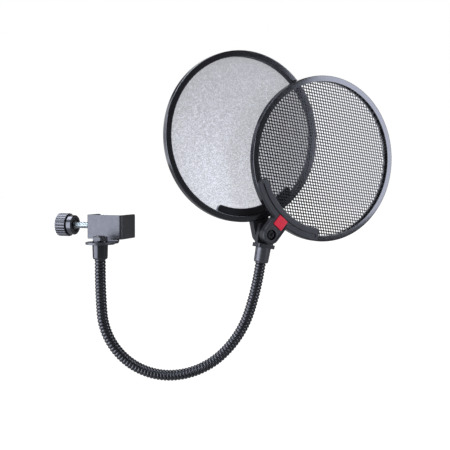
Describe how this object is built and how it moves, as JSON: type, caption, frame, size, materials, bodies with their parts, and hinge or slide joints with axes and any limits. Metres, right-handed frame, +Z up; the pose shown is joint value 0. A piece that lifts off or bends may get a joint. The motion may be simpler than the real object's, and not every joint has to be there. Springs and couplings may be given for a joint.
{
  "type": "twin-screen microphone pop filter",
  "caption": "Pop filter with a fabric and a perforated steel screen fanned out on one pivot, on a bendable gooseneck with a screw clamp for a stand tube.",
  "frame": {"origin": "on the axis of the stand tube that the clamp grips, at the clamp's mid height", "axes": "+Z up the stand tube, +X along the clamp screw from knob to fixed jaw, -Y towards the bracket's front wall"},
  "size_m": [0.2931, 0.1842, 0.2982],
  "materials": {
    "powder_black": "satin black paint on steel strip",
    "gloss_black_metal": "glossy black coating on turned steel",
    "gooseneck_black": "semi-gloss black paint on ribbed steel hose",
    "zinc_steel": "bright zinc plate",
    "black_rubber": "matt moulded rubber",
    "black_plastic": "fine textured black moulding",
    "polished_plastic": "smooth black moulding with a soft shine",
    "pale_plastic": "plain natural nylon",
    "perforated_black": "semi-matt black paint on perforated steel",
    "pale_fabric": "fine stretched knit, slightly see-through",
    "red_badge": "glossy red, bare"
  },
  "bodies": {
    "clamp": {"clamp_bracket": "powder_black", "thread_bush": "zinc_steel", "jaw_pad": "black_rubber", "neck_nut": "gloss_black_metal", "lock_washer": "gloss_black_metal", "lower_ferrule": "gloss_black_metal", "neck_1": "gooseneck_black"},
    "pressure_pad": {"swivel_foot": "zinc_steel", "foot_facing": "black_rubber"},
    "screw": {"clamp_screw": "zinc_steel", "knob": "polished_plastic"},
    "neck_length_2": {"neck_2": "gooseneck_black"},
    "neck_length_3": {"neck_3": "gooseneck_black"},
    "neck_length_4": {"neck_4": "gooseneck_black"},
    "neck_length_5": {"neck_5": "gooseneck_black"},
    "head": {"neck_6": "gooseneck_black", "upper_ferrule": "gloss_black_metal", "hinge_block": "black_plastic", "pivot_screw": "gloss_black_metal", "pivot_nut": "zinc_steel", "friction_washers": "pale_plastic"},
    "steel_half": {"steel_arm": "black_plastic", "steel_ring": "polished_plastic", "steel_hoop": "polished_plastic", "steel_sheet": "perforated_black", "steel_strip": "black_rubber", "badge": "red_badge"},
    "fabric_half": {"fabric_arm": "black_plastic", "fabric_ring": "polished_plastic", "fabric_hoop": "polished_plastic", "fabric_screen": "pale_fabric", "fabric_strip": "black_rubber"}
  },
  "joints": [
    {"name": "pad_slide", "type": "slide", "parent": "clamp", "child": "pressure_pad", "axis": [1, 0, 0], "range_m": [-0.007, 0.015]},
    {"name": "screw_turn", "type": "hinge", "parent": "pressure_pad", "child": "screw", "pos_m": [0, 0, 0], "axis": [1, 0, 0], "range_deg": [-2520, 5400]},
    {"name": "neck_bend_1", "type": "hinge", "parent": "clamp", "child": "neck_length_2", "pos_m": [-0.00101, -0.03471, -0.07547], "axis": [0.4462, -0.8949, 0], "range_deg": [-30, 30]},
    {"name": "neck_bend_2", "type": "hinge", "parent": "neck_length_2", "child": "neck_length_3", "pos_m": [0.0172, -0.02563, -0.11767], "axis": [0.6046, 0.3014, 0.7373], "range_deg": [-30, 30]},
    {"name": "neck_bend_3", "type": "hinge", "parent": "neck_length_3", "child": "neck_length_4", "pos_m": [0.05654, -0.00601, -0.13367], "axis": [0.4462, -0.8949, 0], "range_deg": [-30, 30]},
    {"name": "neck_bend_4", "type": "hinge", "parent": "neck_length_4", "child": "neck_length_5", "pos_m": [0.09515, 0.01416, -0.11587], "axis": [0.6168, 0.2624, -0.7421], "range_deg": [-30, 30]},
    {"name": "neck_bend_5", "type": "hinge", "parent": "neck_length_5", "child": "head", "pos_m": [0.11724, 0.0278, -0.07615], "axis": [-0.4272, 0.9013, -0.0717], "range_deg": [-30, 30]},
    {"name": "steel_swing", "type": "hinge", "parent": "head", "child": "steel_half", "pos_m": [0.12857, 0.03871, -0.00648], "axis": [-0.7315, 0.6818, -0.002], "range_deg": [-119.5, 60.5]},
    {"name": "fabric_swing", "type": "hinge", "parent": "head", "child": "fabric_half", "pos_m": [0.12857, 0.03871, -0.00648], "axis": [-0.7315, 0.6818, -0.002], "range_deg": [-66.5, 113.5]}
  ],
  "couplings": [
    {"joint": "screw_turn", "follows": "pad_slide", "rad_per_m": 6283.2}
  ]
}
